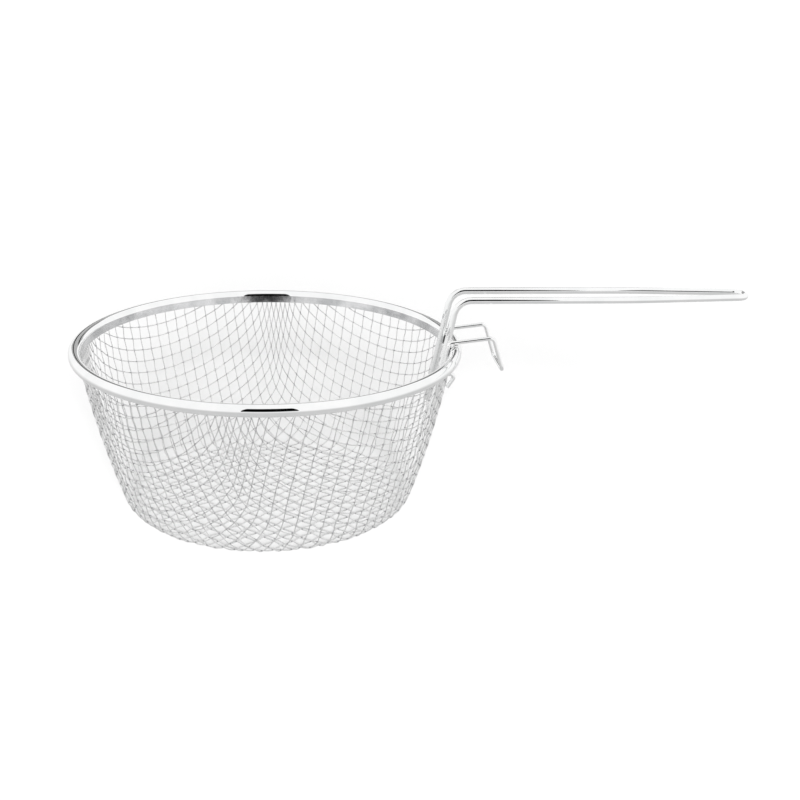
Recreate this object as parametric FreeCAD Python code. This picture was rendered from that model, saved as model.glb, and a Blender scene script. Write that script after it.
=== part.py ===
# Round frying basket for a pan: a bowl pressed from woven wire mesh, a rolled steel rim that
# grips the edge of the mesh, a long hairpin handle and a small wire hook for the pan's rim.
# Sizes are in millimetres and degrees. The origin is the middle of the basket's underside,
# +Z is up and the handle points along +X.

import FreeCAD, Part
import math
import os

from FreeCAD import Vector

# Basket
rim_diameter = 220.0
basket_height = 95.5
wall_slope = 9.6             # lean of the wall from upright, just under the rim
wall_bulge_radius = 520.0    # the wall curves gently inwards on its way down
base_corner_radius = 10.5    # outside radius between wall and base

# Woven mesh, drawn as one wall with a ridge for each bundle of wires and a gap between them
mesh_wire = 0.7
ridge_pitch = 28.7
ridge_width = 2.4
ridge_crest_width = 0.8
mesh_edge_in_rim = 4.0       # how far the mesh reaches up past the flange's lower edge

# Rim, rolled from one steel strip
rim_bead_diameter = 6.6
rim_strip = 0.4
rim_flange = 4.2
rim_slot_clearance = 0.3

# Handle
handle_wire = 3.8
handle_spread = 21.4         # between the centres of the two wires
handle_tip_spread = 11.4
handle_rise = 25.0           # from the rim's top to the centre of the wires
handle_reach = 169.7         # from the rim's outer edge to the tip
handle_taper = 69.0          # length over which the wires close in on each other
handle_bend = 10.0
handle_taper_bend = 300.0
handle_tip_flat = 0.6
handle_leg_depth = 41.7      # from the rim's top down to the ends of the legs

# Hook
hook_wire = 2.2
hook_spread = 28.0
hook_reach = 17.3            # from the rim's outer edge to the outer bend
hook_rise = 3.9              # from the rim's top to the outer bend
hook_bar_reach = 23.4
hook_bar_drop = 15.5
hook_pass_depth = 17.4       # where the wire goes out through the mesh, below the rim's top
hook_poke = 4.8              # how far its bend stands out from the mesh
hook_tail_depth = 25.3
hook_bend = 2.5
hook_outer_bend = 3.0
hook_clinch_bend = 2.0

# Clearances
weld_gap = 0.15              # the welds themselves are left out
leg_to_mesh = 0.35

# Round sections are drawn with flats
handle_flat_count = 12
hook_flat_count = 8
bead_flat_count = 8
facet_turn = 25.0            # most degrees that one facet of the mesh turns

net_tolerance = 1e-9
flat_tolerance = 1e-7

bead_radius = rim_bead_diameter / 2
bead_centre_radius = rim_diameter / 2 - bead_radius
bead_centre_height = basket_height - bead_radius
weave = 2 * mesh_wire
slope = math.radians(wall_slope)
slope_sin = math.sin(slope)
slope_cos = math.cos(slope)


def beside_flange(outwards, down):
    """Radius and height of a point out from the flange's inner face and down from its crease."""
    inward = bead_radius - outwards
    radius = bead_centre_radius - inward * slope_cos - down * slope_sin
    height = bead_centre_height + inward * slope_sin - down * slope_cos
    return radius, height


# Middle of the mesh's thickness, from the centre of the base outwards: flat base, corner arc,
# wall arc, then straight up into the rim. Each arc starts where the last one ends, in line.
mesh_offset = rim_strip + rim_slot_clearance + weave / 2
wall_top_radius, wall_top_height = beside_flange(mesh_offset, rim_flange)
wall_arc_radius = wall_top_radius - wall_bulge_radius * slope_cos
wall_arc_height = wall_top_height + wall_bulge_radius * slope_sin
corner_bend = base_corner_radius - weave / 2
corner_height = base_corner_radius
centre_gap = wall_bulge_radius - corner_bend
corner_radius = wall_arc_radius + math.sqrt(centre_gap ** 2 - (wall_arc_height - corner_height) ** 2)
corner_angle = math.asin((wall_arc_height - corner_height) / centre_gap)

base_end = corner_radius
corner_end = base_end + corner_bend * (math.pi / 2 - corner_angle)
wall_end = corner_end + wall_bulge_radius * (corner_angle - slope)


def profile(along):
    """Radius, height and outward normal (radial, upward) at a distance along the mesh's profile."""
    if along <= base_end:
        return along, weave / 2, 0.0, -1.0
    if along <= corner_end:
        angle = math.pi / 2 - (along - base_end) / corner_bend
        across, down = math.cos(angle), math.sin(angle)
        return corner_radius + corner_bend * across, corner_height - corner_bend * down, across, -down
    if along <= wall_end:
        angle = corner_angle - (along - corner_end) / wall_bulge_radius
        across, down = math.cos(angle), math.sin(angle)
        radius = wall_arc_radius + wall_bulge_radius * across
        return radius, wall_arc_height - wall_bulge_radius * down, across, -down
    rise = along - wall_end
    return wall_top_radius + rise * slope_sin, wall_top_height + rise * slope_cos, slope_cos, -slope_sin


def nearest_along(radius, height):
    """Distance along the profile of its point nearest to a given radius and height."""
    corner_turn = math.atan2(corner_height - height, radius - corner_radius)
    corner_turn = min(max(corner_turn, corner_angle), math.pi / 2)
    wall_turn = math.atan2(wall_arc_height - height, radius - wall_arc_radius)
    wall_turn = min(max(wall_turn, slope), corner_angle)
    rise = (radius - wall_top_radius) * slope_sin + (height - wall_top_height) * slope_cos
    choices = [
        min(radius, base_end),
        base_end + corner_bend * (math.pi / 2 - corner_turn),
        corner_end + wall_bulge_radius * (corner_angle - wall_turn),
        wall_end + max(rise, 0.0),
    ]

    def miss(along):
        at = profile(along)
        return math.hypot(at[0] - radius, at[1] - height)

    return min(choices, key=miss)


def on_mesh(point):
    """The point of the mesh's middle surface nearest to a point, and the outward normal there."""
    radius = math.hypot(point.x, point.y)
    turn = math.atan2(point.y, point.x)
    at_radius, at_height, outward, upward = profile(nearest_along(radius, point.z))
    across, over = math.cos(turn), math.sin(turn)
    spot = Vector(at_radius * across, at_radius * over, at_height)
    return spot, Vector(outward * across, outward * over, upward)


def mesh_radius(height, offset):
    """Radius of the wall at a height above the base corner, offset outwards from its middle."""
    drop = wall_arc_height - height
    return wall_arc_radius + math.sqrt((wall_bulge_radius + offset) ** 2 - drop ** 2)


def fourth_corner(one, other, shared):
    """The net's point one pitch from both given neighbours, across from the point they share."""
    spot, normal = on_mesh(one + other - shared)
    for step in range(30):
        from_one = spot - one
        from_other = spot - other
        short_one = ridge_pitch - from_one.Length
        short_other = ridge_pitch - from_other.Length
        if abs(short_one) + abs(short_other) < net_tolerance:
            break
        from_one.normalize()
        from_other.normalize()
        first = (from_one - normal * normal.dot(from_one)).normalize()
        second = normal.cross(first)
        a, b = from_one.dot(first), from_one.dot(second)
        c, d = from_other.dot(first), from_other.dot(second)
        scale = 1 / (a * d - b * c)
        move = first * ((short_one * d - b * short_other) * scale)
        move += second * ((a * short_other - c * short_one) * scale)
        if move.Length > ridge_pitch / 2:
            move.multiply(ridge_pitch / 2 / move.Length)
        spot, normal = on_mesh(spot + move)
    return spot


def draped_net():
    """Crossings of the net, keyed by their row and column from the middle of the base.

    Pressed mesh neither stretches nor slips, so each side of a square keeps its length and
    only its corners open or close. The rows through the middle run straight up the wall at 45
    degrees to the handle, and every other crossing follows from its neighbours."""
    crossings = {}
    count = int((wall_end + rim_flange) / ridge_pitch) + 3
    along = 0.0
    for row in range(count):
        radius, height = profile(along)[:2]
        side = radius * math.sqrt(0.5)
        crossings[row, 0] = Vector(side, -side, height)
        crossings[0, row] = Vector(side, side, height)
        along += ridge_pitch
        for step in range(20):
            ahead = profile(along)
            along += ridge_pitch - math.hypot(ahead[0] - radius, ahead[1] - height)
    for row in range(1, count):
        for column in range(1, row + 1):
            before = [(row - 1, column), (row, column - 1), (row - 1, column - 1)]
            if not all(key in crossings for key in before):
                continue
            one, other, shared = [crossings[key] for key in before]
            if min(one.z, other.z) > basket_height + ridge_pitch:
                continue
            spot = fourth_corner(one, other, shared)
            crossings[row, column] = spot
            crossings[column, row] = Vector(spot.x, -spot.y, spot.z)
    whole = {}
    for (row, column), spot in crossings.items():
        for quarter in range(4):
            whole[row, column] = spot
            row, column = -column, row
            spot = Vector(-spot.y, spot.x, spot.z)
    return whole


def side_points(net, start, end):
    """Points on the mesh along one side of a square, closer together round the base's corner."""
    first, last = min(start, end), max(start, end)
    turn = on_mesh(net[first])[1].getAngle(on_mesh(net[last])[1])
    pieces = 1 if turn < flat_tolerance else max(2, math.ceil(math.degrees(turn) / facet_turn))
    points = []
    for piece in range(pieces):
        share = piece / pieces
        points.append(((first, last, piece), net[first] * (1 - share) + net[last] * share))
    points.append(((last, last, 0), net[last]))
    points[0] = ((first, first, 0), net[first])
    if start != first:
        points.reverse()
    return points[:-1]


def square_faces(net, corners, kept):
    """Half of the four ridges round one gap: crest and slopes outside, one slope inside."""
    ring = []
    for start, end in zip(corners, corners[1:] + corners[:1]):
        ring += side_points(net, start, end)
    spots = [on_mesh(point) for key, point in ring]
    rows = []
    for index, (spot, normal) in enumerate(spots):
        back = (spots[index - 1][0] - spot).normalize()
        ahead = (spots[(index + 1) % len(spots)][0] - spot).normalize()
        into = back + ahead
        if ring[index][0][0] != ring[index][0][1]:
            into = normal.cross(back - ahead)
        into.normalize()
        reach = 1 / math.sin(ahead.getAngle(into))
        crest = spot + into * (ridge_crest_width / 2 * reach)
        edge = on_mesh(spot + into * (ridge_width / 2 * reach))[0]
        thick = normal * (weave / 2)
        rows.append((spot + thick, crest + thick, edge, spot - thick))
    faces = []
    for index, here in enumerate(rows):
        there = rows[(index + 1) % len(rows)]
        for low in range(3):
            faces += flat_faces(here[low], there[low], there[low + 1], here[low + 1])
        side = frozenset((ring[index][0], ring[(index + 1) % len(ring)][0]))
        if side in kept:
            del kept[side]
        else:
            kept[side] = (here[0], there[0], there[3], here[3])
    return faces


def flat_faces(a, b, c, d):
    """A four-sided face, or two triangles where its corners aren't in one plane."""
    normal = (b - a).cross(c - a)
    if abs(normal.dot(d - a)) < flat_tolerance * normal.Length:
        return [Part.Face(Part.makePolygon([a, b, c, d, a]))]
    return [Part.Face(Part.makePolygon([a, b, c, a])), Part.Face(Part.makePolygon([a, c, d, a]))]


def make_mesh_basket():
    """The woven bowl as one solid, cut off level inside the rim's bead."""
    net = draped_net()
    top = wall_top_height + mesh_edge_in_rim * slope_cos
    faces = []
    open_sides = {}
    for row, column in net:
        corners = [(row, column), (row + 1, column), (row + 1, column + 1), (row, column + 1)]
        if not all(key in net for key in corners):
            continue
        if min(net[key].z for key in corners) < top:
            faces += square_faces(net, corners, open_sides)
    for side in open_sides.values():
        faces += flat_faces(*side)
    shell = Part.makeShell(faces)
    shell.sewShape()
    bowl = Part.makeSolid(shell)
    if bowl.Volume < 0:
        bowl.reverse()
    size = rim_diameter + 4 * ridge_pitch
    above = Part.makeBox(size, size, size, Vector(-size / 2, -size / 2, top))
    return bowl.cut(above)


def spin(section):
    """The solid swept by a closed wire in the XZ plane turning about the basket's axis."""
    return Part.Face(section).revolve(Vector(0, 0, 0), Vector(0, 0, 1), 360)


def make_rim_band():
    """A strip rolled into a P: a flange inside the mesh, and a bead that curls round outside."""
    grip = bead_radius - rim_strip - weave - 2 * rim_slot_clearance
    start = math.pi - slope
    finish = start + math.acos(grip / bead_radius) - 2 * math.pi

    def on_bead(radius, angle):
        across = bead_centre_radius + radius * math.cos(angle)
        return Vector(across, 0, bead_centre_height + radius * math.sin(angle))

    def flange_foot(outwards):
        radius, height = beside_flange(outwards, rim_flange)
        return Vector(radius, 0, height)

    inner = bead_radius - rim_strip
    turns = [start + (finish - start) * flat / bead_flat_count for flat in range(bead_flat_count + 1)]
    outline = [flange_foot(0)]
    outline += [on_bead(bead_radius, turn) for turn in turns]
    outline += [on_bead(inner, turn) for turn in reversed(turns)]
    outline += [flange_foot(rim_strip), flange_foot(0)]
    return spin(Part.makePolygon(outline))


def bent_wire(corners, bends, diameter, flat_count):
    """Wire along straight runs, with an arc of the given radius at each inner corner.

    Its section is a polygon with the area of the round wire, so that the weight is right."""
    edges = []
    start = corners[0]
    for before, corner, after, bend in zip(corners, corners[1:], corners[2:], bends):
        arrive = (corner - before).normalize()
        leave = (after - corner).normalize()
        half_turn = arrive.getAngle(leave) / 2
        first = corner - arrive * (bend * math.tan(half_turn))
        last = corner + leave * (bend * math.tan(half_turn))
        middle = corner + (leave - arrive).normalize() * (bend / math.cos(half_turn) - bend)
        edges.append(Part.LineSegment(start, first).toShape())
        edges.append(Part.Arc(first, middle, last).toShape())
        start = last
    edges.append(Part.LineSegment(start, corners[-1]).toShape())

    step = 2 * math.pi / flat_count
    across = Vector(0, diameter / 2 * math.sqrt(step / math.sin(step)), 0)
    over = (corners[1] - corners[0]).normalize().cross(across)
    turns = [step * flat for flat in range(flat_count)]
    section = [corners[0] + across * math.cos(turn) + over * math.sin(turn) for turn in turns]
    return Part.Wire(edges).makePipeShell([Part.makePolygon(section + section[:1])], True, True)


def inside_of(radius, side, wire, gap):
    """How far along X a wire's centre lies when it touches a ring of that radius from within."""
    return math.sqrt((radius - wire / 2 - gap) ** 2 - side ** 2)


def laid_on_bead(x, z, side, wire):
    """Direction, in radians up from +X, of a straight wire from a point that just passes the bead.

    The wire lies in the upright plane at that distance to the side of the basket's middle. The
    first angle passes the bead on its left, seen along the way from the point, and the second
    on its right."""
    bead_x = math.sqrt(bead_centre_radius ** 2 - side ** 2)
    reach = bead_x - inside_of(bead_centre_radius - bead_radius, side, wire, weld_gap)
    away = math.hypot(bead_x - x, bead_centre_height - z)
    straight = math.atan2(bead_centre_height - z, bead_x - x)
    swing = math.asin(reach / away)
    return straight + swing, straight - swing


def both_sides(half):
    """A path with its mirror image joined on, from one end to the other."""
    return [Vector(x, -y, z) for x, y, z in half] + [Vector(x, y, z) for x, y, z in reversed(half)]


def make_handle():
    """Hairpin handle: its legs stand inside the basket, against the flange and the mesh."""
    side = handle_spread / 2
    leg_end_height = basket_height - handle_leg_depth
    mesh_inside = mesh_radius(leg_end_height, -weave / 2)
    foot = inside_of(mesh_inside, side, handle_wire, leg_to_mesh)
    run_height = basket_height + handle_rise
    lean = laid_on_bead(foot, leg_end_height, side, handle_wire)[0]
    bend_x = foot + (run_height - leg_end_height) / math.tan(lean)
    tip = rim_diameter / 2 + handle_reach - handle_wire / 2
    tip_side = handle_tip_spread / 2
    taper_turn = math.atan((side - tip_side) / handle_taper)
    tip_half_turn = (math.pi / 2 - taper_turn) / 2
    tip_bend = (tip_side - handle_tip_flat / 2) / math.tan(tip_half_turn)
    half = [
        (foot, side, leg_end_height),
        (bend_x, side, run_height),
        (tip - handle_taper, side, run_height),
        (tip, tip_side, run_height),
    ]
    bends = [handle_bend, handle_taper_bend, tip_bend]
    return bent_wire(both_sides(half), bends + bends[::-1], handle_wire, handle_flat_count)


def make_pan_hook():
    """Wire hook: over the rim, clinched out through the mesh below it, with a bar outside."""
    side = hook_spread / 2
    reach = hook_wire / 2 + weld_gap
    crease_radius, crease_height = beside_flange(0, 0)
    foot_radius, foot_height = beside_flange(0, rim_flange)
    leg_top = inside_of(crease_radius, side, hook_wire, weld_gap)
    leg_foot = inside_of(foot_radius, side, hook_wire, weld_gap)
    lean = (leg_top - leg_foot) / (crease_height - foot_height)

    def wall_outside(height):
        radius = mesh_radius(height, weave / 2)
        return math.sqrt(radius ** 2 - side ** 2)

    # The run over the rim falls from the outer bend and is laid on top of the bead
    outer_x = rim_diameter / 2 + hook_reach
    outer_z = basket_height + hook_rise
    run_slope = math.tan(laid_on_bead(outer_x, outer_z, side, hook_wire)[1])
    inner_x = leg_top + lean * (outer_z - crease_height) - lean * run_slope * outer_x
    inner_x /= 1 - lean * run_slope
    inner_z = outer_z - run_slope * (outer_x - inner_x)

    pass_height = basket_height - hook_pass_depth
    tail_height = basket_height - hook_tail_depth
    half = [
        (wall_outside(tail_height) + reach, side, tail_height),
        (wall_outside(pass_height) + hook_poke, side, pass_height),
        (leg_top + lean * (pass_height - crease_height), side, pass_height),
        (inner_x, side, inner_z),
        (outer_x, side, outer_z),
        (rim_diameter / 2 + hook_bar_reach, side, basket_height - hook_bar_drop),
    ]
    bends = [hook_clinch_bend, hook_clinch_bend, hook_bend, hook_outer_bend, hook_outer_bend]
    return bent_wire(both_sides(half), bends + bends[::-1], hook_wire, hook_flat_count)


pieces = {
    "mesh_basket": make_mesh_basket(),
    "rim_band": make_rim_band(),
    "handle": make_handle(),
    "pan_hook": make_pan_hook(),
}

os.makedirs("parts", exist_ok=True)
for name, solid in pieces.items():
    solid.exportStep("parts/" + name + ".step")
    print(name, "solids", len(solid.Solids), "valid", solid.isValid(), "volume", round(solid.Volume, 1))
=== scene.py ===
import math

import bmesh
import bpy
from mathutils import Matrix, Vector, kdtree


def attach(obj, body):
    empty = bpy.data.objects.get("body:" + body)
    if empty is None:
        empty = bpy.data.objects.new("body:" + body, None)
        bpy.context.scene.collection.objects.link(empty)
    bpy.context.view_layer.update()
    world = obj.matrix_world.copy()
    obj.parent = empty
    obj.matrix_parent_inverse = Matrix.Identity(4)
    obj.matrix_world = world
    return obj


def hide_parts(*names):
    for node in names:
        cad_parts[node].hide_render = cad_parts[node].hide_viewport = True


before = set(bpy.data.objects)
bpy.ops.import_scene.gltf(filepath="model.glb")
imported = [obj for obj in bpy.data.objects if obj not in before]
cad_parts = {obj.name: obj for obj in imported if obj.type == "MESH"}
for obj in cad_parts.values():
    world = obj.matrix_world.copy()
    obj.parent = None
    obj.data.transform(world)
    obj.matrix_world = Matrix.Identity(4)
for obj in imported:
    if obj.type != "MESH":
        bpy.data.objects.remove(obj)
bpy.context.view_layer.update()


# The bowl: one sheet of plain-woven stainless steel wire, cut round and pressed over a former.
# The wires neither stretch nor slip, so on the wall the square openings lean over into diamonds.
# Its edge is gripped in the rim, and each wire runs on a little way inside the rolled bead.

MM = 0.001
MESH_WIRE = 0.56 * MM
MESH_PITCH = 7.1 * MM
WEAVE = 1.4 * MM
CRIMP = MESH_WIRE / 2
BOWL_DEPTH = 95.5 * MM
BOWL_CORNER = 10.5 * MM
BOWL_BULGE = 520 * MM
WALL_LEAN = math.radians(9.6)
WALL_TOP_RADIUS = 104.126 * MM
WALL_TOP_HEIGHT = 88.376 * MM
MESH_INTO_BEAD = 3.9 * MM

# Fitting the net: how often a crossing's place is corrected, and when it is near enough.
TRIES = 25
SETTLED = 1e-9

lean_across, lean_up = math.sin(WALL_LEAN), math.cos(WALL_LEAN)
corner_bend = BOWL_CORNER - WEAVE / 2
bulge_x = WALL_TOP_RADIUS - BOWL_BULGE * lean_up
bulge_z = WALL_TOP_HEIGHT + BOWL_BULGE * lean_across
corner_x = bulge_x + math.sqrt((BOWL_BULGE - corner_bend) ** 2 - (bulge_z - BOWL_CORNER) ** 2)
corner_turn = math.asin((bulge_z - BOWL_CORNER) / (BOWL_BULGE - corner_bend))
corner_end = corner_x + corner_bend * (math.pi / 2 - corner_turn)
wall_end = corner_end + BOWL_BULGE * (corner_turn - WALL_LEAN)


def bowl_profile(along):
    """Radius, height and outward normal of the sheet's middle, that far from the base's centre."""
    if along <= corner_x:
        return along, WEAVE / 2, 0.0, -1.0
    if along <= corner_end:
        turn = math.pi / 2 - (along - corner_x) / corner_bend
        across, down = math.cos(turn), math.sin(turn)
        return corner_x + corner_bend * across, BOWL_CORNER - corner_bend * down, across, -down
    turn = max(corner_turn - (along - corner_end) / BOWL_BULGE, WALL_LEAN)
    across, down = math.cos(turn), math.sin(turn)
    rise = max(along - wall_end, 0.0)
    radius = bulge_x + BOWL_BULGE * across + rise * lean_across
    return radius, bulge_z - BOWL_BULGE * down + rise * lean_up, across, -down


def on_bowl(point):
    """The nearest point of the sheet's middle, with the outward normal there."""
    radius = math.hypot(point.x, point.y)
    corner = math.atan2(BOWL_CORNER - point.z, radius - corner_x)
    corner = min(max(corner, corner_turn), math.pi / 2)
    wall = math.atan2(bulge_z - point.z, radius - bulge_x)
    wall = min(max(wall, WALL_LEAN), corner_turn)
    rise = (radius - WALL_TOP_RADIUS) * lean_across + (point.z - WALL_TOP_HEIGHT) * lean_up
    places = [
        min(radius, corner_x),
        corner_x + corner_bend * (math.pi / 2 - corner),
        corner_end + BOWL_BULGE * (corner_turn - wall),
        wall_end + max(rise, 0.0),
    ]
    found = [bowl_profile(along) for along in places]
    at = min(found, key=lambda spot: math.hypot(spot[0] - radius, spot[1] - point.z))
    way = Vector((point.x, point.y, 0)).normalized()
    return way * at[0] + Vector((0, 0, at[1])), way * at[2] + Vector((0, 0, at[3]))


def next_crossing(one, other, shared):
    """The crossing one pitch from two neighbours, across the opening from the one they share."""
    spot, normal = on_bowl(one + other - shared)
    for attempt in range(TRIES):
        gaps = [spot - one, spot - other]
        short = [MESH_PITCH - gap.length for gap in gaps]
        if abs(short[0]) + abs(short[1]) < SETTLED:
            break
        first = (gaps[0] - normal * normal.dot(gaps[0])).normalized()
        second = normal.cross(first)
        a, b = gaps[0].normalized().dot(first), gaps[0].normalized().dot(second)
        c, d = gaps[1].normalized().dot(first), gaps[1].normalized().dot(second)
        move = first * (short[0] * d - b * short[1]) + second * (a * short[1] - c * short[0])
        move /= a * d - b * c
        if move.length > MESH_PITCH / 2:
            move *= MESH_PITCH / 2 / move.length
        spot, normal = on_bowl(spot + move)
    return spot


# The net is draped as a press drapes it. The two wires that cross in the middle of the base run
# straight up the wall, 45 degrees to each side of the handle. Every other crossing follows from
# its neighbours, one quarter of the bowl is worked out, and the other three are that one turned.
DIAGONAL = math.sqrt(0.5)
SPARE_ROWS = 4
ROWS_ABOVE = 2

mesh_top = WALL_TOP_HEIGHT + MESH_INTO_BEAD
crossings = {}
count = int((wall_end + MESH_INTO_BEAD) / MESH_PITCH) + SPARE_ROWS
along = 0.0
for row in range(count):
    radius, height = bowl_profile(along)[:2]
    side = radius * DIAGONAL
    crossings[row, 0] = Vector((side, -side, height))
    crossings[0, row] = Vector((side, side, height))
    along += MESH_PITCH
    for attempt in range(TRIES):
        ahead = bowl_profile(along)
        along += MESH_PITCH - math.hypot(ahead[0] - radius, ahead[1] - height)
for row in range(1, count):
    for column in range(1, row + 1):
        neighbours = ((row - 1, column), (row, column - 1), (row - 1, column - 1))
        around = [crossings.get(key) for key in neighbours]
        if None in around:
            continue
        if min(around[0].z, around[1].z) > mesh_top + ROWS_ABOVE * MESH_PITCH:
            continue
        spot = next_crossing(*around)
        crossings[row, column] = spot
        crossings[column, row] = Vector((spot.x, -spot.y, spot.z))
for (row, column), spot in list(crossings.items()):
    for quarter in range(3):
        row, column, spot = -column, row, Vector((-spot.y, spot.x, spot.z))
        crossings[row, column] = spot

# The sheet sat a few degrees askew on the former, and its front wall was pulled round a little
# more in two places. Each pull has its middle and half its width in degrees round the rim, the
# degrees that it has gone at the top, and how soon it gets there on the way up.
NET_TURN = math.radians(-3)
NET_PULLS = [(-105, 60, -8, 3), (-50, 60, 4.5, 1)]

for spot in crossings.values():
    turn = NET_TURN
    azimuth = math.degrees(math.atan2(spot.y, spot.x))
    for middle, width, pull, soon in NET_PULLS:
        beside = min(abs(azimuth - middle) / width, 1.0)
        climbed = 1 - max(1 - spot.z / mesh_top, 0.0) ** soon
        turn += math.radians(pull) * math.cos(beside * math.pi / 2) ** 2 * climbed
    spot.rotate(Matrix.Rotation(turn, 3, "Z"))

# A wire that stops short of the rim by more than this share of a pitch runs on into the bead.
SHORTEST_TAIL = 0.15


def woven_wires(along_rows):
    """The lines of all wires one way: over one crossing, under the next, cut inside the bead."""
    lines = []
    numbers = range(-count, count + 1)
    for number in numbers:
        keys = [(step, number) if along_rows else (number, step) for step in numbers]
        keys = [key for key in keys if key in crossings]
        inside = [n for n, key in enumerate(keys) if crossings[key].z < mesh_top]
        if len(inside) < 2:
            continue
        line = []
        for n in range(inside[0], inside[-1] + 1):
            spot, normal = on_bowl(crossings[keys[n]])
            over = 1 if (sum(keys[n]) % 2 == 0) == along_rows else -1
            line.append(spot + normal * (over * CRIMP))
        for end, beyond in ((0, inside[0] - 1), (-1, inside[-1] + 1)):
            if 0 <= beyond < len(keys):
                last, out = crossings[keys[inside[end]]], crossings[keys[beyond]]
                share = (mesh_top - last.z) / (out.z - last.z)
                if share > SHORTEST_TAIL:
                    cut = on_bowl(last.lerp(out, share))[0]
                    line.insert(0 if end == 0 else len(line), cut)
        lines.append(line)
    return lines


def smooth_tubes(name, lines, radius, sides, steps):
    """A mesh of round wires, each along a smooth line through its points."""
    curve = bpy.data.curves.new(name, "CURVE")
    curve.dimensions = "3D"
    curve.bevel_depth = radius
    curve.bevel_resolution = (sides - 4) // 2
    curve.resolution_u = steps
    curve.use_fill_caps = True
    for line in lines:
        spline = curve.splines.new("BEZIER")
        spline.bezier_points.add(len(line) - 1)
        for knot, point in zip(spline.bezier_points, line):
            knot.co = point
            knot.handle_left_type = knot.handle_right_type = "AUTO"
    drawn = bpy.data.objects.new(name + "_line", curve)
    bpy.context.scene.collection.objects.link(drawn)
    bpy.context.view_layer.update()
    evaluated = drawn.evaluated_get(bpy.context.evaluated_depsgraph_get())
    mesh = bpy.data.meshes.new_from_object(evaluated)
    bpy.data.objects.remove(drawn)
    mesh.name = name
    for face in mesh.polygons:
        face.use_smooth = True
    return mesh


def finish_colour(code):
    """A finish's linear colour from its sRGB hex value."""
    parts = [int(code[n:n + 2], 16) / 255 for n in (1, 3, 5)]
    return [c / 12.92 if c <= 0.04045 else ((c + 0.055) / 1.055) ** 2.4 for c in parts] + [1.0]


def add_node(material, kind, settings=None, **links):
    """Adds a node, sets what it is given, and links the named inputs."""
    node = material.node_tree.nodes.new(kind)
    for key, value in (settings or {}).items():
        if key in node.inputs:
            node.inputs[key].default_value = value
        else:
            setattr(node, key, value)
    for key, source in links.items():
        material.node_tree.links.new(source, node.inputs[key.replace("_", " ")])
    return node


# Stainless steel wire, drawn bright and then woven: not polished after, so each wire keeps a thin
# grey drawing film in patches and shows as a soft pale grey. At each crossing its colour is painted
# darker: painted shade where two wires cross and shadow each other.
FILM_PATCH = 9 * MM
FILM_DETAIL = 3.0
THICK_FILM_AND_CROSSING_SHADE, FILM_USUAL, FILM_THIN = "#BABBBC", "#E0E0E0", "#F2F2F2"
FILM_USUAL_AT, FILM_THIN_AT = 0.3, 0.7
CROSSING_SHADE_REACH = 1.6 * MM
WIRE_SMOOTH, WIRE_ROUGH = 0.12, 0.24

woven_steel = bpy.data.materials.new("bright_drawn_stainless_wire")
woven_steel.use_nodes = True
shader = woven_steel.node_tree.nodes["Principled BSDF"]
shader.inputs["Metallic"].default_value = 1.0
place = add_node(woven_steel, "ShaderNodeTexCoord")
film = add_node(woven_steel, "ShaderNodeTexNoise", {"Scale": 1 / FILM_PATCH, "Detail": FILM_DETAIL},
                Vector=place.outputs["Object"])
# Painted shade: the wire's colour is pulled towards the darkest grey near each crossing.
crossing_shade_node = add_node(woven_steel, "ShaderNodeAttribute", {"attribute_name": "crossing_shade_mask"})
film_and_crossing_shade = add_node(woven_steel, "ShaderNodeMapRange", {"To Max": 0.0},
                     Value=crossing_shade_node.outputs["Fac"], To_Min=film.outputs["Fac"])
tint = add_node(woven_steel, "ShaderNodeValToRGB", Fac=film_and_crossing_shade.outputs["Result"])
tint.color_ramp.elements[0].position = 0.0
tint.color_ramp.elements[0].color = finish_colour(THICK_FILM_AND_CROSSING_SHADE)
tint.color_ramp.elements[1].position = FILM_THIN_AT
tint.color_ramp.elements[1].color = finish_colour(FILM_THIN)
tint.color_ramp.elements.new(FILM_USUAL_AT).color = finish_colour(FILM_USUAL)
gloss = add_node(woven_steel, "ShaderNodeMapRange", {"To Min": WIRE_SMOOTH, "To Max": WIRE_ROUGH},
                 Value=film.outputs["Fac"])
woven_steel.node_tree.links.new(tint.outputs["Color"], shader.inputs["Base Color"])
woven_steel.node_tree.links.new(gloss.outputs["Result"], shader.inputs["Roughness"])

# The two sets of wires. Their attribute is 1 at a crossing and fades to 0 beside it, and marks
# where shade is painted on at the crossings. They throw no light on the table, where it would only
# show as speckle.
touches = kdtree.KDTree(len(crossings))
for number, spot in enumerate(crossings.values()):
    touches.insert(spot, number)
touches.balance()
for name, along_rows in (("mesh_warp_wires", True), ("mesh_weft_wires", False)):
    mesh = smooth_tubes(name, woven_wires(along_rows), MESH_WIRE / 2, sides=8, steps=5)
    mesh.materials.append(woven_steel)
    crossing_shade_mask = mesh.attributes.new("crossing_shade_mask", "FLOAT", "POINT")
    for vert in mesh.vertices:
        crossing_shade_mask.data[vert.index].value = max(1 - touches.find(vert.co)[2] / CROSSING_SHADE_REACH, 0.0)
    wires = bpy.data.objects.new(name, mesh)
    bpy.context.scene.collection.objects.link(wires)
    wires.visible_diffuse = False
    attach(wires, "root")
    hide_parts("mesh_basket")


# The rim: one strip of stainless steel, rolled into a bead that curls round outside the mesh.
# Its lower edge is a short flange inside the mesh, and the mesh is gripped between the two.
# It is polished after rolling, like a mirror that is slightly uneven along the strip.

RIM_RADIUS = 110 * MM
BEAD_RADIUS = 3.3 * MM
RIM_STRIP = 0.4 * MM
RIM_FLANGE = 4.2 * MM
BEAD_GRIP = 0.7 * MM
BEAD_STEPS = 28
RIM_STEPS = 288
DOUBLED = 0.001 * MM
SHARP_FOLD = math.radians(50)

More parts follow.
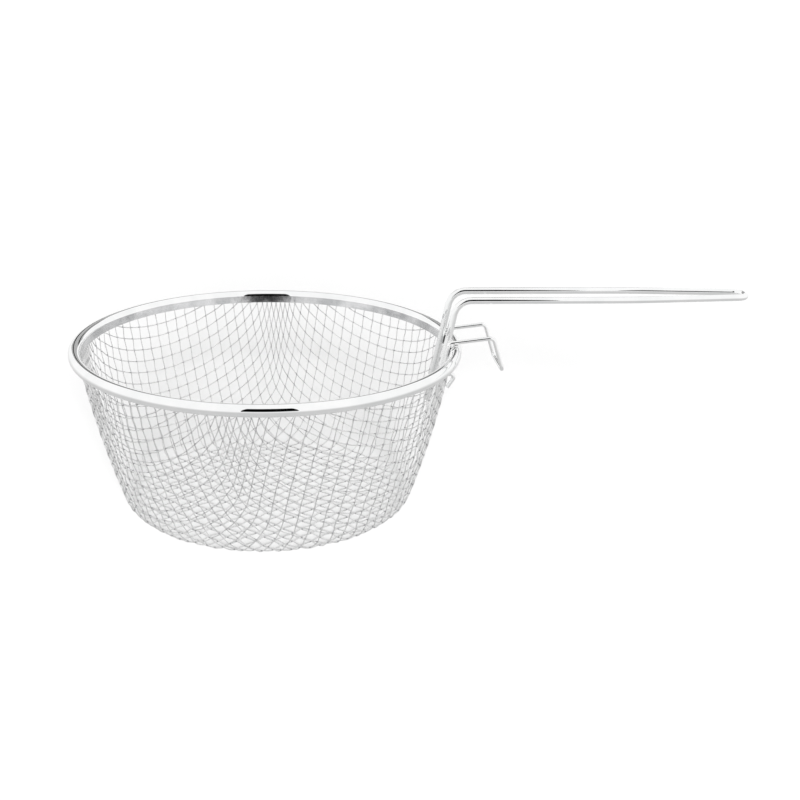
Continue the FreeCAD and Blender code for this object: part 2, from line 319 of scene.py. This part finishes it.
bead_x = RIM_RADIUS - BEAD_RADIUS
bead_z = BOWL_DEPTH - BEAD_RADIUS
rim = bmesh.new()
crease = Vector((bead_x - BEAD_RADIUS * lean_up, 0, bead_z + BEAD_RADIUS * lean_across))
foot = crease - Vector((lean_across, 0, lean_up)) * RIM_FLANGE
edge = bmesh.ops.create_vert(rim, co=foot)["vert"]
edge = bmesh.ops.extrude_vert_indiv(rim, verts=edge)["verts"]
bmesh.ops.translate(rim, verts=edge, vec=crease - foot)
curl = 2 * math.pi - math.acos(BEAD_GRIP / BEAD_RADIUS)
bmesh.ops.spin(rim, geom=edge, cent=(bead_x, 0, bead_z), axis=(0, 1, 0), angle=curl,
               steps=BEAD_STEPS)
bmesh.ops.spin(rim, geom=rim.verts[:] + rim.edges[:], cent=(0, 0, 0), axis=(0, 0, 1),
               angle=2 * math.pi, steps=RIM_STEPS, use_merge=True)
bmesh.ops.remove_doubles(rim, verts=rim.verts, dist=DOUBLED)
bmesh.ops.recalc_face_normals(rim, faces=rim.faces)
bmesh.ops.solidify(rim, geom=rim.faces[:], thickness=RIM_STRIP)
bmesh.ops.recalc_face_normals(rim, faces=rim.faces)
mesh = bpy.data.meshes.new("rim_roll")
rim.to_mesh(mesh)
rim.free()
for face in mesh.polygons:
    face.use_smooth = True
mesh.set_sharp_from_angle(angle=SHARP_FOLD)

# Stainless steel strip and wire, polished bright on a buffing wheel: a clean mirror with a very
# faint haze where the buff ran unevenly.
HAZE_PATCH = 14 * MM
HAZE_DETAIL = 4.0
HAZED, CLEAR = "#F5F6F6", "#FCFCFC"
HAZED_AT, CLEAR_AT = 0.35, 0.65
MIRROR_SMOOTH, MIRROR_ROUGH = 0.015, 0.04

polished_steel = bpy.data.materials.new("polished_stainless_steel")
polished_steel.use_nodes = True
shader = polished_steel.node_tree.nodes["Principled BSDF"]
shader.inputs["Metallic"].default_value = 1.0
place = add_node(polished_steel, "ShaderNodeTexCoord")
haze = add_node(polished_steel, "ShaderNodeTexNoise",
                {"Scale": 1 / HAZE_PATCH, "Detail": HAZE_DETAIL}, Vector=place.outputs["Object"])
tint = add_node(polished_steel, "ShaderNodeValToRGB", Fac=haze.outputs["Fac"])
tint.color_ramp.elements[0].position = HAZED_AT
tint.color_ramp.elements[0].color = finish_colour(HAZED)
tint.color_ramp.elements[1].position = CLEAR_AT
tint.color_ramp.elements[1].color = finish_colour(CLEAR)
gloss = add_node(polished_steel, "ShaderNodeMapRange",
                 {"To Min": MIRROR_SMOOTH, "To Max": MIRROR_ROUGH}, Value=haze.outputs["Fac"])
polished_steel.node_tree.links.new(tint.outputs["Color"], shader.inputs["Base Color"])
polished_steel.node_tree.links.new(gloss.outputs["Result"], shader.inputs["Roughness"])

# The same strip where it is pressed against the woven wires, under the bead: its colour is painted
# greyer, a painted shade, it is rougher, and each wire behind it dents it slightly. Real dents are
# a few hundredths of a millimetre deep, and are drawn deeper so that they show.
FLANGE_SHADE_DARK, FLANGE_SHADE_LIGHT = "#BDBEBF", "#E1E1E2"
FLANGE_SMOOTH, FLANGE_ROUGH = 0.14, 0.3
DENT_WIDTH = 4 * MM
DENT_DEPTH = 0.12 * MM
DENT_DETAIL = 1.0

flange_steel_painted_shade = polished_steel.copy()
flange_steel_painted_shade.name = "flange_painted_shade"
place = flange_steel_painted_shade.node_tree.nodes["Texture Coordinate"]
ramp = flange_steel_painted_shade.node_tree.nodes["Color Ramp"].color_ramp
# Painted shade: the flange gets a greyer colour than the polished strip it is part of.
ramp.elements[0].color = finish_colour(FLANGE_SHADE_DARK)
ramp.elements[1].color = finish_colour(FLANGE_SHADE_LIGHT)
dull = flange_steel_painted_shade.node_tree.nodes["Map Range"]
dull.inputs["To Min"].default_value = FLANGE_SMOOTH
dull.inputs["To Max"].default_value = FLANGE_ROUGH
dents = add_node(flange_steel_painted_shade, "ShaderNodeTexNoise",
                 {"Scale": 1 / DENT_WIDTH, "Detail": DENT_DETAIL}, Vector=place.outputs["Object"])
dented = add_node(flange_steel_painted_shade, "ShaderNodeBump", {"Strength": 1.0, "Distance": DENT_DEPTH},
                  Height=dents.outputs["Fac"])
shader = flange_steel_painted_shade.node_tree.nodes["Principled BSDF"]
flange_steel_painted_shade.node_tree.links.new(dented.outputs["Normal"], shader.inputs["Normal"])

mesh.materials.append(polished_steel)
mesh.materials.append(flange_steel_painted_shade)
# The flange's faces, inside and below the bead, take the copy with the painted shade.
for face in mesh.polygons:
    if face.center.xy.length < crease.x and face.center.z < crease.z - RIM_STRIP:
        face.material_index = 1
rim_roll = bpy.data.objects.new("rim_roll", mesh)
bpy.context.scene.collection.objects.link(rim_roll)
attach(rim_roll, "root")
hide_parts("rim_band")


# The handle: one stainless steel wire bent into a long hairpin. Its legs stand inside the basket
# against the rim's flange and the wall, and are spot-welded to the flange. The level run closes
# in a little towards the tip.

HANDLE_WIRE = 3.8 * MM
HANDLE_SIDE = 10.7 * MM
HANDLE_HEIGHT = BOWL_DEPTH + 25 * MM
HANDLE_TIP = RIM_RADIUS + 169.7 * MM - HANDLE_WIRE / 2
HANDLE_TAPER = 69 * MM
TIP_SIDE = 5.7 * MM
TIP_FLAT = 0.3 * MM
LEG_FOOT = Vector((93.483 * MM, 0, 53.8 * MM))
LEG_BEND_X = 106.001 * MM
LEG_BEND = 10 * MM
TAPER_BEND = 300 * MM


def push_on(wire, ring, way):
    """Extrudes the wire's end face straight on, and gives the new end."""
    faces = [part for part in ring if isinstance(part, bmesh.types.BMFace)]
    pushed = bmesh.ops.extrude_face_region(wire, geom=faces)["geom"]
    bmesh.ops.delete(wire, geom=faces, context="FACES_ONLY")
    verts = [part for part in pushed if isinstance(part, bmesh.types.BMVert)]
    bmesh.ops.translate(wire, verts=verts, vec=way)
    return pushed


def bend_wire(name, corners, bends, diameter, sides, bend_steps):
    """A round wire bent as on a wire bender: pushed straight on, then turned about each former."""
    wire = bmesh.new()
    heading = (corners[1] - corners[0]).normalized()
    turned = heading.to_track_quat("Z", "Y").to_matrix().to_4x4()
    bmesh.ops.create_circle(wire, segments=sides, radius=diameter / 2, cap_ends=True,
                            matrix=Matrix.Translation(corners[0]) @ turned)
    ring = wire.verts[:] + wire.edges[:] + wire.faces[:]
    place = corners[0]
    for before, corner, after, bend in zip(corners, corners[1:], corners[2:], bends):
        arrive, leave = (corner - before).normalized(), (after - corner).normalized()
        turn = arrive.angle(leave)
        first = corner - arrive * bend * math.tan(turn / 2)
        centre = first + (leave - arrive * arrive.dot(leave)).normalized() * bend
        ring = push_on(wire, ring, first - place)
        spun = bmesh.ops.spin(wire, geom=ring, cent=centre, axis=arrive.cross(leave).normalized(),
                              angle=turn, steps=max(2, round(bend_steps * turn / (math.pi / 2))))
        ring = spun["geom_last"]
        place = corner + leave * bend * math.tan(turn / 2)
    ring = push_on(wire, ring, corners[-1] - place)
    bmesh.ops.recalc_face_normals(wire, faces=wire.faces)
    ends = [face for face in wire.faces if len(face.verts) > 4]
    eased = diameter / 10
    bmesh.ops.bevel(wire, geom=[e for face in ends for e in face.edges], offset=eased,
                    segments=2, profile=0.5, affect="EDGES", material=-1)
    mesh = bpy.data.meshes.new(name)
    wire.to_mesh(mesh)
    wire.free()
    for face in mesh.polygons:
        face.use_smooth = len(face.vertices) == 4
    return mesh


taper_turn = math.atan((HANDLE_SIDE - TIP_SIDE) / HANDLE_TAPER)
tip_bend = (TIP_SIDE - TIP_FLAT) / math.tan((math.pi / 2 - taper_turn) / 2)
half = [
    LEG_FOOT + Vector((0, HANDLE_SIDE, 0)),
    Vector((LEG_BEND_X, HANDLE_SIDE, HANDLE_HEIGHT)),
    Vector((HANDLE_TIP - HANDLE_TAPER, HANDLE_SIDE, HANDLE_HEIGHT)),
    Vector((HANDLE_TIP, TIP_SIDE, HANDLE_HEIGHT)),
]
flip = Matrix.Scale(-1, 4, (0, 1, 0))
route = [flip @ point for point in half] + half[::-1]
bends = [LEG_BEND, TAPER_BEND, tip_bend]
mesh = bend_wire("handle_wire", route, bends + bends[::-1], HANDLE_WIRE, sides=28, bend_steps=14)
mesh.materials.append(polished_steel)
handle = bpy.data.objects.new("handle_wire", mesh)
bpy.context.scene.collection.objects.link(handle)
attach(handle, "root")
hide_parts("handle")


# The pan hook: a thinner stainless steel wire bent into a rectangular U. It lies across the rim,
# goes out through the mesh under it and is clinched there; the crossbar hangs outside, lower than
# the run, and rests on a pan's rim.

HOOK_WIRE = 2.2 * MM
HOOK_SIDE = 14 * MM

# From the clinched tail to the crossbar: how far out from the bowl's axis and how high, in mm,
# and the radius of each bend on the way.
HOOK_CORNERS = [
    (101.712, 70.2), (106.838, 78.1), (98.731, 78.1),
    (101.848, 96.354), (127.3, 99.4), (133.4, 80.0),
]
HOOK_BENDS = [2.0 * MM, 2.0 * MM, 2.5 * MM, 3.0 * MM, 3.0 * MM]

half = [Vector((x * MM, HOOK_SIDE, z * MM)) for x, z in HOOK_CORNERS]
route = [flip @ point for point in half] + half[::-1]
mesh = bend_wire("hook_wire", route, HOOK_BENDS + HOOK_BENDS[::-1], HOOK_WIRE, sides=24,
                 bend_steps=10)
mesh.materials.append(polished_steel)
hook = bpy.data.objects.new("hook_wire", mesh)
bpy.context.scene.collection.objects.link(hook)
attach(hook, "root")
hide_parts("pan_hook")


# The studio: a pale table that runs out of view under a white tent. Far off in the tent stand a
# dark doorway behind the camera, and a grey panel with two black posts opposite. Only the steel
# sees them: they give it its dark lines and patches.

TABLE_HALF = 20.0
TABLE_PALE, CLOTH_BLACK, CLOTH_GREY, TENT_WHITE = "#C2C2C2", "#050505", "#606060", "#FFFFFF"
DOOR_AWAY, DOOR_LEFT, DOOR_RIGHT, DOOR_FOOT, DOOR_TOP = 6.0, -1.6, 1.7, 0.1, 7.4
PANEL_AWAY, PANEL_HALF, PANEL_FOOT, PANEL_TOP = 6.0, 2.4, 1.0, 4.2
POST_AWAY, POST_INNER, POST_WIDTH = 5.9, 1.06, 0.54


def matt_card(name, corners, colour, material_name):
    """A flat sheet through its corners, which takes light evenly and has no shine."""
    card = bmesh.new()
    card.faces.new([card.verts.new(corner) for corner in corners])
    mesh = bpy.data.meshes.new(name)
    card.to_mesh(mesh)
    card.free()
    material = bpy.data.materials.new(material_name)
    material.use_nodes = True
    shader = material.node_tree.nodes["Principled BSDF"]
    shader.inputs["Base Color"].default_value = finish_colour(colour)
    shader.inputs["Roughness"].default_value = 1.0
    shader.inputs["Specular IOR Level"].default_value = 0.0
    mesh.materials.append(material)
    sheet = bpy.data.objects.new(name, mesh)
    bpy.context.scene.collection.objects.link(sheet)
    return sheet


def upright(left, right, foot, top, y):
    """The corners of a sheet that stands across the studio, facing the basket."""
    return [(left, y, foot), (right, y, foot), (right, y, top), (left, y, top)]


signs = [(-1, -1), (1, -1), (1, 1), (-1, 1)]
flat = [(x * TABLE_HALF, y * TABLE_HALF, 0) for x, y in signs]
table = matt_card("white_table", flat, TABLE_PALE, "matt_white_table")
table.visible_glossy = False

doorway = upright(DOOR_LEFT, DOOR_RIGHT, DOOR_FOOT, DOOR_TOP, -DOOR_AWAY)
door = matt_card("dark_doorway", doorway, CLOTH_BLACK, "black_cloth")
backing = upright(-PANEL_HALF, PANEL_HALF, PANEL_FOOT, PANEL_TOP, PANEL_AWAY)
panel = matt_card("grey_panel", backing, CLOTH_GREY, "grey_cloth")
cards = [door, panel]
for name, side in (("post_left", -1), ("post_right", 1)):
    inner, outer = side * POST_INNER, side * (POST_INNER + POST_WIDTH)
    post = upright(inner, outer, PANEL_FOOT, PANEL_TOP, POST_AWAY)
    cards.append(matt_card(name, post, CLOTH_BLACK, "black_post"))
for card in cards:
    card.visible_camera = False
    card.visible_diffuse = False
    card.visible_shadow = False

# The tent is white above the horizon and darkens below it, which gives the steel a grey floor to
# mirror in place of the table.
FLOOR_GREY = 0.62
FLOOR_DARKEST_AT = -0.45

world = bpy.data.worlds.new("white_tent")
world.use_nodes = True
looking = add_node(world, "ShaderNodeTexCoord")
height = add_node(world, "ShaderNodeSeparateXYZ", Vector=looking.outputs["Generated"])
tent = add_node(world, "ShaderNodeMapRange",
                {"From Min": FLOOR_DARKEST_AT, "From Max": 0.0, "To Min": FLOOR_GREY},
                Value=height.outputs["Z"])
background = world.node_tree.nodes["Background"]
background.inputs["Color"].default_value = finish_colour(TENT_WHITE)
world.node_tree.links.new(tent.outputs["Result"], background.inputs["Strength"])
bpy.context.scene.world = world

# One broad light by the camera, as low as the camera, so that the shade falls behind the basket.
LIGHT_STRENGTH = 9.6
LIGHT_SPREAD = math.radians(25)
LIGHT_DIP = math.radians(17.5)
LIGHT_SIDE = math.radians(1.5)

lamp = bpy.data.lights.new("light_by_camera", "SUN")
lamp.energy = LIGHT_STRENGTH
lamp.angle = LIGHT_SPREAD
light = bpy.data.objects.new("light_by_camera", lamp)
light.rotation_euler = (math.pi / 2 - LIGHT_DIP, 0, LIGHT_SIDE)
light.visible_glossy = False
bpy.context.scene.collection.objects.link(light)

# The camera stands about 70 cm away with a normal lens, looking down into the basket.
CAMERA_FROM_RIM = 680 * MM
CAMERA_RISE = math.radians(17.513)
CAMERA_YAW = math.radians(6.719)
CAMERA_DIP = math.radians(20.127)
CAMERA_ROLL = math.radians(1.583)
LENS_MM = 53.39
FILM_MM = 36
NEAREST = 0.05

lens = bpy.data.cameras.new("camera")
lens.lens = LENS_MM
lens.sensor_width = FILM_MM
lens.clip_start = NEAREST
camera = bpy.data.objects.new("camera", lens)
camera_y = -CAMERA_FROM_RIM * math.cos(CAMERA_RISE)
camera_z = bead_z + CAMERA_FROM_RIM * math.sin(CAMERA_RISE)
camera.location = (0, camera_y, camera_z)
camera.rotation_euler = (
    Matrix.Rotation(-CAMERA_YAW, 3, "Z")
    @ Matrix.Rotation(math.pi / 2 - CAMERA_DIP, 3, "X")
    @ Matrix.Rotation(CAMERA_ROLL, 3, "Z")
).to_euler()
bpy.context.scene.collection.objects.link(camera)
bpy.context.scene.camera = camera
bpy.context.scene.view_settings.view_transform = "Standard"
